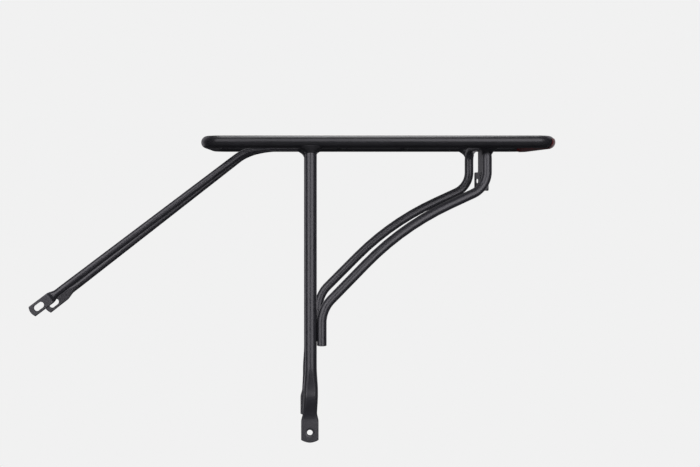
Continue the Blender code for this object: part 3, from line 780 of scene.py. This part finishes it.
def weld_collar(name, side, tube, toe_y, top_y, top_half_y, draw, material):
    """Fillet that starts in a small lip on the upright tube and flares out along the rail."""
    x, radius = tube
    phase = draw.uniform(0, 2 * math.pi)
    wobble = COLLAR_WOBBLE * draw.uniform(*COLLAR_WOBBLE_RANGE)
    turns = [2 * math.pi * index / COLLAR_SIDES for index in range(COLLAR_SIDES)]
    rings = []
    for climb in COLLAR_ROWS:
        ring = []
        flare = climb ** COLLAR_FLARE
        for turn in turns:
            along, out = math.cos(turn), math.sin(turn)
            bottom_z = COLLAR_TOE_Z + COLLAR_TOE_RISE * out * out + wobble * math.sin(3 * turn + phase)
            end_x = (radius + COLLAR_SPREAD) * along
            end_y = top_y + top_half_y * out
            top_z = min(COLLAR_TOP_Z, rail_underside(end_y) + CHAMFER)
            grown = radius + collar_lip(climb) + ripple(turn, climb, phase)
            point_x = x + mix(grown * along, end_x, flare)
            tube_y = mix(toe_y, top_y, climb)
            point_y = mix(tube_y + grown * out, end_y, flare)
            ring.append(Vector((point_x, side * point_y, mix(bottom_z, top_z, climb))))
        rings.append(ring)
    last = [mix(point, Vector((x, side * top_y, point.z + CHAMFER)), COLLAR_TUCK) for point in rings[-1]]
    buried = radius * BURIED
    first = [Vector((x + buried * math.cos(turn), side * (toe_y + buried * math.sin(turn)), point.z))
             for turn, point in zip(turns, rings[0])]
    return loft(name + "_look", [first] + rings + [last], material)


def rod_weld(name, side, draw, material):
    """Fillet round a rod's end, up to the rail's inner side."""
    low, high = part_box(name)
    x = (low.x + high.x) / 2
    phase = draw.uniform(0, 2 * math.pi)
    toe_y = RAIL_HALF_SPACING - RAIL_RADIUS - ROD_WELD_REACH
    rings = []
    for row in range(-1, ROD_WELD_STEPS + 2):
        climb = min(max(row / ROD_WELD_STEPS, 0.0), 1.0)
        buried = row < 0 or row > ROD_WELD_STEPS
        spread = ROD_WELD_SPREAD * climb ** ROD_WELD_FLARE
        lip = COLLAR_LIP * smooth_step(climb, ROD_WELD_LIP_START, ROD_WELD_LIP_END)
        ring = []
        for index in range(COLLAR_SIDES):
            turn = 2 * math.pi * index / COLLAR_SIDES
            radius = ROD_RADIUS + lip + spread + ROD_WELD_RIPPLE * ripple(turn, climb, phase)
            if buried:
                radius = ROD_RADIUS * BURIED
            height = ROD_Z + radius * math.sin(turn)
            offset = min(abs(height - DECK_Z), RAIL_RADIUS * ROD_WELD_LIMIT)
            end_y = RAIL_HALF_SPACING - math.sqrt(RAIL_RADIUS ** 2 - offset ** 2) + CHAMFER
            ring.append(Vector((x + radius * math.cos(turn), side * mix(toe_y, end_y, climb), height)))
        rings.append(ring)
    return loft(name + "_look", rings, material)


def straight_bead(name, start, end, radius, draw, material):
    """A run of weld scales with round ends."""
    start, end = Vector(start), Vector(end)
    length = (end - start).length
    count = max(BEAD_LEAST_STEPS, round(length / BEAD_RIPPLE) * BEAD_SCALE_STEPS)
    phase = draw.uniform(0, 1)
    centres, radii = [], []
    for index in range(count + 1):
        along = index / count
        scale = (along * length / BEAD_RIPPLE + phase) % 1.0
        taper = math.sqrt(max(1 - (2 * along - 1) ** BEAD_END_POWER, BEAD_TIP))
        swell = 1 + BEAD_SWELL * (scale - 0.5) + BEAD_WANDER * math.sin(BEAD_WAVE * along + 6 * phase)
        centres.append(start.lerp(end, along))
        radii.append(radius * taper * swell * BEAD_FILL)
    return loft(name + "_look", tube_rings(centres, radii, BEAD_SIDES), material)


def foot_weld(name, side, draw, material):
    """Upright bead between the leg and the hoop's lower end, on the wheel's side."""
    low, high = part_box(name)
    x = LEG_X + LEG_RADIUS + CHAMFER
    y = side * (LEG_Y - FOOT_BEAD_INSET)
    return straight_bead(name, (x, y, low.z), (x, y, high.z), FOOT_BEAD_RADIUS, draw, material)


def stay_weld(name, draw, material):
    """Bead in the groove between the front rod and a stay's flat tail."""
    low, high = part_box(name)
    x = (low.x + high.x) / 2
    z = ROD_Z - ROD_RADIUS + STAY_BEAD_RISE
    return straight_bead(name, (x, low.y, z), (x, high.y, z), STAY_BEAD_RADIUS, draw, material)


def bracket_weld(draw, material):
    """Bead along the plate's top edge, under the hoop's bar."""
    low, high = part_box("lamp_bracket_weld")
    x = plate_high.x
    z = plate_high.z + BRACKET_BEAD_RISE
    return straight_bead("lamp_bracket_weld", (x, low.y, z), (x, high.y, z), BRACKET_BEAD_RADIUS,
                         draw, material)


# ------ materials

# Colours.
COAT_DEEP = (0.0110, 0.0112, 0.0135, 1.0)
COAT_LIGHT = (0.0165, 0.0165, 0.0195, 1.0)
COAT_RUBBED = (0.050, 0.050, 0.053, 1.0)
DUST = (0.16, 0.16, 0.165, 1.0)
FILM_DEEP = (0.100, 0.005, 0.005, 1.0)
FILM_BRIGHT = (0.19, 0.009, 0.008, 1.0)
FILM_SEAM = (0.035, 0.003, 0.003, 1.0)

# Texture scales, in cycles a metre.
CLOUD_SCALE = 45.0                # slow mottling
CELL_SCALE = 420.0                # prism cells
PEEL_SCALE = 650.0                # orange peel of the powder coat
SCUFF_SCALE = 1300.0
SPECK_SCALE = 1500.0
GRAIN_SCALE = 3800.0              # the coat's finest grain
NOISE_ROUGHNESS = 0.55

# Ranges of noise that a texture uses.
CLOUDS = (0.30, 0.70)
MOTTLE = (0.35, 0.65)
GRAINS = (0.30, 0.75)
SPECKS = (0.58, 0.78)
SCUFFS = (0.35, 0.75)

# Powder coat.
COAT_IOR = 1.5
COAT_ROUGHNESS = 0.34
COAT_PEEL_DEPTH = 0.000008
WELD_ROUGHNESS = 0.36
WELD_PEEL_DEPTH = 0.00003
GRAIN_DEPTH = 0.15                # share of the peel's depth
PEEL_STRENGTH = 0.4
GRAIN_STRENGTH = 0.2
GRAIN_SHARE = 0.14
DUST_SHARE = 0.06
DUST_SLOPE = 0.35                 # dust lies where the surface faces up more than this
RUBBED_SHARE = 0.3
LEAST_RUB = 0.25
EDGE_RADIUS = 0.0007
EDGE_TURN = (0.80, 0.985)         # cosines of the turn at a full edge and at none
EDGE_POLISH = 0.10
ROUGH_LESS = 0.02
ROUGH_MORE = 0.03

# Reflective film.
CELL_JITTER = 0.15
CELL_DEPTH = 0.00006
CELL_STRENGTH = 0.5
SEAM_EDGE = (0.02, 0.09)
SEAM_SHARE = 0.75
FILM_ROUGHNESS = (0.28, 0.46)
FILM_SPECULAR = 0.25
FILM_COAT = 0.1
FILM_COAT_ROUGHNESS = 0.12


class Shading:
    """A node material under construction."""

    def __init__(self, name):
        self.material = bpy.data.materials.new(name)
        self.material.use_nodes = True
        self.tree = self.material.node_tree
        self.shader = self.tree.nodes["Principled BSDF"]
        self.place = self.tree.nodes.new("ShaderNodeTexCoord").outputs["Object"]

    def link(self, source, target):
        if isinstance(source, bpy.types.NodeSocket):
            self.tree.links.new(source, target)
        else:
            target.default_value = source

    def noise(self, scale, detail):
        node = self.tree.nodes.new("ShaderNodeTexNoise")
        node.inputs["Scale"].default_value = scale
        node.inputs["Detail"].default_value = detail
        node.inputs["Roughness"].default_value = NOISE_ROUGHNESS
        self.link(self.place, node.inputs["Vector"])
        return node.outputs["Fac"]

    def spread(self, source, low, high, to_low, to_high):
        """Maps a range onto another, and holds at both ends."""
        node = self.tree.nodes.new("ShaderNodeMapRange")
        self.link(source, node.inputs["Value"])
        limits = {"From Min": low, "From Max": high, "To Min": to_low, "To Max": to_high}
        for label, value in limits.items():
            self.link(value, node.inputs[label])
        return node.outputs["Result"]

    def calculate(self, operation, first, second):
        node = self.tree.nodes.new("ShaderNodeMath")
        node.operation = operation
        self.link(first, node.inputs[0])
        self.link(second, node.inputs[1])
        return node.outputs["Value"]

    def blend(self, share, first, second):
        """Mixes two colours."""
        node = self.tree.nodes.new("ShaderNodeMix")
        node.data_type = "RGBA"
        self.link(share, node.inputs[0])
        self.link(first, node.inputs[6])
        self.link(second, node.inputs[7])
        return node.outputs[2]

    def edges(self):
        """1 along hard outer edges and 0 on flats and on round tube."""
        bevel = self.tree.nodes.new("ShaderNodeBevel")
        bevel.samples = 4
        bevel.inputs["Radius"].default_value = EDGE_RADIUS
        true_normal = self.tree.nodes.new("ShaderNodeNewGeometry").outputs["Normal"]
        dot = self.tree.nodes.new("ShaderNodeVectorMath")
        dot.operation = "DOT_PRODUCT"
        self.link(bevel.outputs["Normal"], dot.inputs[0])
        self.link(true_normal, dot.inputs[1])
        return self.spread(dot.outputs["Value"], *EDGE_TURN, 1.0, 0.0)

    def facing_up(self):
        normal = self.tree.nodes.new("ShaderNodeNewGeometry").outputs["Normal"]
        parts = self.tree.nodes.new("ShaderNodeSeparateXYZ")
        self.link(normal, parts.inputs["Vector"])
        return self.spread(parts.outputs["Z"], DUST_SLOPE, 1.0, 0.0, 1.0)

    def bump(self, height, distance, strength, under=None):
        node = self.tree.nodes.new("ShaderNodeBump")
        node.inputs["Strength"].default_value = strength
        node.inputs["Distance"].default_value = distance
        self.link(height, node.inputs["Height"])
        if under is not None:
            self.link(under, node.inputs["Normal"])
        return node.outputs["Normal"]


def powder_coat(name, roughness, peel_depth):
    """Satin black powder coat: mottled tone, orange peel, rubbed edges and a trace of dust."""
    look = Shading(name)
    cloud = look.noise(CLOUD_SCALE, 4.0)
    peel = look.noise(PEEL_SCALE, 2.0)
    grain = look.noise(GRAIN_SCALE, 2.0)
    speck = look.noise(SPECK_SCALE, 1.0)
    edge = look.calculate("MULTIPLY", look.edges(), look.spread(cloud, *MOTTLE, LEAST_RUB, 1.0))
    edge = look.calculate("MULTIPLY", edge, RUBBED_SHARE)
    dusty = look.calculate("MULTIPLY", look.facing_up(), look.spread(speck, *SPECKS, 0.0, DUST_SHARE))
    tone = look.blend(look.spread(cloud, *MOTTLE, 0.0, 1.0), COAT_DEEP, COAT_LIGHT)
    tone = look.blend(look.spread(grain, *GRAINS, 0.0, GRAIN_SHARE), tone, COAT_RUBBED)
    tone = look.blend(edge, tone, COAT_RUBBED)
    tone = look.blend(dusty, tone, DUST)
    look.link(tone, look.shader.inputs["Base Color"])
    rough = look.spread(cloud, *CLOUDS, roughness - ROUGH_LESS, roughness + ROUGH_MORE)
    rough = look.calculate("ADD", rough, look.spread(grain, *CLOUDS, -ROUGH_LESS, ROUGH_MORE))
    rough = look.calculate("ADD", rough, dusty)
    rough = look.calculate("SUBTRACT", rough, look.calculate("MULTIPLY", edge, EDGE_POLISH))
    look.link(rough, look.shader.inputs["Roughness"])
    look.shader.inputs["IOR"].default_value = COAT_IOR
    coarse = look.bump(peel, peel_depth, PEEL_STRENGTH)
    fine = look.bump(grain, peel_depth * GRAIN_DEPTH, GRAIN_STRENGTH, under=coarse)
    look.link(fine, look.shader.inputs["Normal"])
    return look.material


def reflective_film(name):
    """Red prismatic film: small cells with dark seams under a clear face."""
    look = Shading(name)
    cells = look.tree.nodes.new("ShaderNodeTexVoronoi")
    cells.feature = "DISTANCE_TO_EDGE"
    cells.inputs["Scale"].default_value = CELL_SCALE
    cells.inputs["Randomness"].default_value = CELL_JITTER
    look.link(look.place, cells.inputs["Vector"])
    seam = look.spread(cells.outputs["Distance"], *SEAM_EDGE, 1.0, 0.0)
    cloud = look.noise(CLOUD_SCALE, 4.0)
    scuff = look.noise(SCUFF_SCALE, 3.0)
    tone = look.blend(look.spread(cloud, *CLOUDS, 0.0, 1.0), FILM_DEEP, FILM_BRIGHT)
    tone = look.blend(look.calculate("MULTIPLY", seam, SEAM_SHARE), tone, FILM_SEAM)
    look.link(tone, look.shader.inputs["Base Color"])
    look.link(look.spread(scuff, *SCUFFS, *FILM_ROUGHNESS), look.shader.inputs["Roughness"])
    look.shader.inputs["Specular IOR Level"].default_value = FILM_SPECULAR
    look.shader.inputs["Coat Weight"].default_value = FILM_COAT
    look.shader.inputs["Coat Roughness"].default_value = FILM_COAT_ROUGHNESS
    look.link(look.bump(cells.outputs["Distance"], CELL_DEPTH, CELL_STRENGTH), look.shader.inputs["Normal"])
    return look.material


# ------ studio

PAPER = 0.8797                    # even radiance of the seamless background
PAPER_RADIUS = 7.0
CURVE_RADIUS = 1.5
DOME_RADIUS = 9.0
PAPER_SIDES = 64
RIM_END = -0.2                    # the floor's curve stops at this angle, in radians
POLE_GAP = 0.01                   # radius and angle left open at the poles
DOME_STEPS = 24
TARGET = Vector((0.02, 0.0, 0.20))
AMBIENT = (0.050, 0.050, 0.056)
BOX_DISTANCE = 2.4
NEUTRAL = (1.0, 1.0, 1.0)
COOL = (0.97, 0.94, 1.0)

# Light panels: name, azimuths and elevations in degrees, radiance, tint. Azimuth 0 is in front of
# the side view and runs to its right.
DECK_PANELS = (
    ("deck_left_box", (-32, -6), (8, 50), 2.2, COOL),
    ("deck_right_box", (5, 40), (8, 50), 3.0, COOL),
    ("deck_overhead_box", (154, 181), (44, 97), 4.2, NEUTRAL),
    ("deck_low_box", (-50, 50), (-60, -8), 0.15, NEUTRAL),
    ("deck_rear_left_fill", (-150, -108), (-20, 45), 0.7, COOL),
    ("deck_rear_right_fill", (108, 150), (-20, 45), 0.7, COOL),
)
FRAME_PANELS = (
    ("left_box", (-66, -25), (-20, 40), 3.3, COOL),
    ("right_box", (-1, 41), (-20, 40), 3.3, COOL),
    ("overhead_box", (150, 210), (35, 85), 0.3, NEUTRAL),
    ("rear_left_fill", (-165, -125), (-25, 40), 0.7, COOL),
    ("rear_right_fill", (125, 165), (-25, 40), 0.7, COOL),
)

# Camera, with its lens and sensor in millimetres.
CAMERA_PLACE = (-0.0188, -1.147, 0.3178)
LENS = 44.18
SENSOR = 36.0
SHIFT_X = 0.0786
SHIFT_Y = -0.075


def paper_material():
    """Evenly lit paper. Its back is clear, so that a low view isn't blocked by the floor."""
    made = bpy.data.materials.new("studio_paper")
    made.use_nodes = True
    tree = made.node_tree
    tree.nodes.clear()
    glow = tree.nodes.new("ShaderNodeEmission")
    glow.inputs["Color"].default_value = (1, 1, 1, 1)
    glow.inputs["Strength"].default_value = PAPER
    clear = tree.nodes.new("ShaderNodeBsdfTransparent")
    geometry = tree.nodes.new("ShaderNodeNewGeometry")
    choose = tree.nodes.new("ShaderNodeMixShader")
    output = tree.nodes.new("ShaderNodeOutputMaterial")
    tree.links.new(geometry.outputs["Backfacing"], choose.inputs[0])
    tree.links.new(glow.outputs[0], choose.inputs[1])
    tree.links.new(clear.outputs[0], choose.inputs[2])
    tree.links.new(choose.outputs[0], output.inputs["Surface"])
    return made


def paper_piece(name, profile, material):
    """A surface turned round the upright axis: profile is (radius, height), faces look inwards."""
    bm = bmesh.new()
    skin(bm, [[Vector((a, b, z)) for a, b in circle(radius, PAPER_SIDES)] for radius, z in profile])
    bmesh.ops.recalc_face_normals(bm, faces=bm.faces)
    bmesh.ops.reverse_faces(bm, faces=bm.faces)
    mesh = bpy.data.meshes.new(name)
    bm.to_mesh(mesh)
    bm.free()
    mesh.materials.append(material)
    made = bpy.data.objects.new(name, mesh)
    bpy.context.scene.collection.objects.link(made)
    made.visible_diffuse = False
    made.visible_glossy = False
    made.visible_transmission = False
    made.visible_shadow = False


def studio_paper():
    """A floor that curves up at its rim, inside a round backdrop of the same paper."""
    material = paper_material()
    floor_z = FOOT_BOTTOM_Z - CHAMFER
    rim = arc((PAPER_RADIUS - CURVE_RADIUS, floor_z + CURVE_RADIUS), CURVE_RADIUS, -UPRIGHT, RIM_END)
    paper_piece("studio_floor", [(POLE_GAP, floor_z)] + rim + [(PAPER_RADIUS, DOME_RADIUS)], material)
    dome = arc((0.0, 0.0), DOME_RADIUS, POLE_GAP - UPRIGHT, UPRIGHT - POLE_GAP, DOME_STEPS)
    paper_piece("studio_backdrop", dome, material)


def softbox(name, azimuths, elevations, radiance, tint, receivers):
    """A soft light panel that fills a range of directions and reaches only the receivers."""
    turn = math.radians(sum(azimuths) / 2)
    climb = math.radians(sum(elevations) / 2)
    half_turn = math.radians(azimuths[1] - azimuths[0]) / 2
    half_climb = math.radians(elevations[1] - elevations[0]) / 2
    away = Vector((math.sin(turn) * math.cos(climb), -math.cos(turn) * math.cos(climb), math.sin(climb)))
    light = bpy.data.lights.new(name, "AREA")
    light.shape = "RECTANGLE"
    light.size = 2 * BOX_DISTANCE * math.tan(half_turn)
    light.size_y = 2 * BOX_DISTANCE * math.tan(half_climb)
    light.energy = radiance * math.pi * light.size * light.size_y
    light.color = tint
    made = bpy.data.objects.new(name, light)
    made.location = TARGET + away * BOX_DISTANCE
    made.rotation_euler = away.to_track_quat("Z", "Y").to_euler()
    made.visible_camera = False
    made.light_linking.receiver_collection = receivers
    bpy.context.scene.collection.objects.link(made)


def group(name, pieces):
    made = bpy.data.collections.new(name)
    for piece in pieces:
        made.objects.link(piece)
    return made


def lights(deck_pieces, frame_pieces):
    """The deck and the upright frame each have their own panels, in thin even air."""
    for label, pieces, panels in (("deck_lit", deck_pieces, DECK_PANELS),
                                  ("frame_lit", frame_pieces, FRAME_PANELS)):
        receivers = group(label, pieces)
        for panel in panels:
            softbox(*panel, receivers)
    world = bpy.data.worlds.new("studio_air")
    world.use_nodes = True
    world.node_tree.nodes["Background"].inputs["Color"].default_value = (*AMBIENT, 1.0)
    bpy.context.scene.world = world


def camera():
    """Level side view from the rack's left, a little ahead of its middle."""
    data = bpy.data.cameras.new("side_view")
    data.sensor_width = SENSOR
    data.lens = LENS
    data.shift_x = SHIFT_X
    data.shift_y = SHIFT_Y
    made = bpy.data.objects.new("side_view", data)
    made.location = CAMERA_PLACE
    made.rotation_euler = (UPRIGHT, 0, 0)
    bpy.context.scene.collection.objects.link(made)
    bpy.context.scene.camera = made
    bpy.context.scene.view_settings.view_transform = "Standard"


# ------ assembly

def place(piece, node, slot):
    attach(piece, BODY)
    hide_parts(node)
    return piece


def dress_deck(coat, bead, film):
    """The deck's rail and rods, the beads on them, and the film."""
    draw = random.Random(DECK_SEED)
    pieces = [place(deck_loop(coat), "deck_loop", "powder_coat"),
              place(rear_reflector(film), "rear_reflector", "reflective_film")]
    for rod in ("front", "middle", "rear"):
        pieces.append(place(deck_rod(rod, coat), "deck_rod_" + rod, "powder_coat"))
        for name, side in SIDES.items():
            node = "rod_weld_" + rod + "_" + name
            pieces.append(place(rod_weld(node, side, draw, bead), node, "weld_bead"))
    for name, side in SIDES.items():
        node = "leg_weld_" + name
        made = weld_collar(node, side, (LEG_X, LEG_RADIUS), LEG_Y, RAIL_HALF_SPACING,
                           LEG_COLLAR_HALF_Y, draw, bead)
        pieces.append(place(made, node, "weld_bead"))
        node = "hoop_weld_" + name
        made = weld_collar(node, side, (HOOP_X, HOOP_RADIUS), HOOP_COLLAR_TOE_Y, HOOP_COLLAR_TOP_Y,
                           HOOP_COLLAR_HALF_Y, draw, bead)
        pieces.append(place(made, node, "weld_bead"))
    return pieces


def dress_frame(coat, bead):
    """Legs, hoop, stays and bracket, with their beads."""
    draw = random.Random(FRAME_SEED)
    pieces = [place(rear_hoop(coat), "rear_hoop", "powder_coat"),
              place(lamp_bracket(coat), "lamp_bracket", "powder_coat"),
              place(bracket_weld(draw, bead), "lamp_bracket_weld", "weld_bead")]
    for name, side in SIDES.items():
        pieces.append(place(leg(name, side, coat), "leg_" + name, "powder_coat"))
        pieces.append(place(front_stay(name, side, coat), "front_stay_" + name, "powder_coat"))
        node = "hoop_foot_weld_" + name
        pieces.append(place(foot_weld(node, side, draw, bead), node, "weld_bead"))
        for end in ("front", "rear"):
            node = "stay_weld_" + name + "_" + end
            pieces.append(place(stay_weld(node, draw, bead), node, "weld_bead"))
    return pieces


satin = powder_coat("satin_powder_coat", COAT_ROUGHNESS, COAT_PEEL_DEPTH)
coated_weld = powder_coat("coated_weld", WELD_ROUGHNESS, WELD_PEEL_DEPTH)
red_film = reflective_film("red_reflective_film")
deck_pieces = dress_deck(satin, coated_weld, red_film)
frame_pieces = dress_frame(satin, coated_weld)
studio_paper()
lights(deck_pieces, frame_pieces)
camera()
